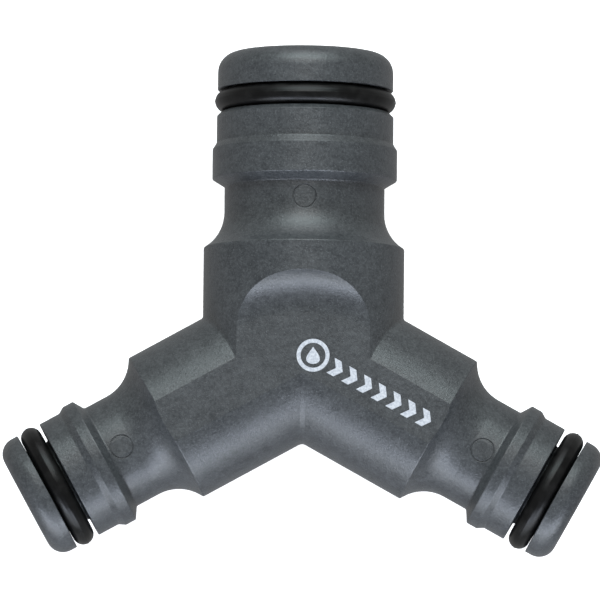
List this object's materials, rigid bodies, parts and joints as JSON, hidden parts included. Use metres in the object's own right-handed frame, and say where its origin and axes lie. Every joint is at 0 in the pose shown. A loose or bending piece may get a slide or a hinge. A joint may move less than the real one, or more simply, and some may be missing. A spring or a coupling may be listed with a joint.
{
  "type": "hose splitter",
  "caption": "Y-shaped garden hose splitter: one large ribbed inlet spigot branches into two smaller outlet spigots, each with a sealing ring for quick couplings.",
  "frame": {"origin": "centre of the inlet spigot's mouth", "axes": "+Y out of the inlet along its bore; +Z out of the front flat, square to the plane of the three bores; +X towards the right outlet"},
  "size_m": [0.075, 0.0631, 0.0252],
  "materials": {
    "body_plastic": "fine spark-eroded grain",
    "seal_rubber": "smooth, slightly shiny"
  },
  "bodies": {
    "root": {"splitter_body": "body_plastic", "inlet_o_ring": "seal_rubber", "left_outlet_o_ring": "seal_rubber", "right_outlet_o_ring": "seal_rubber"}
  },
  "joints": []
}
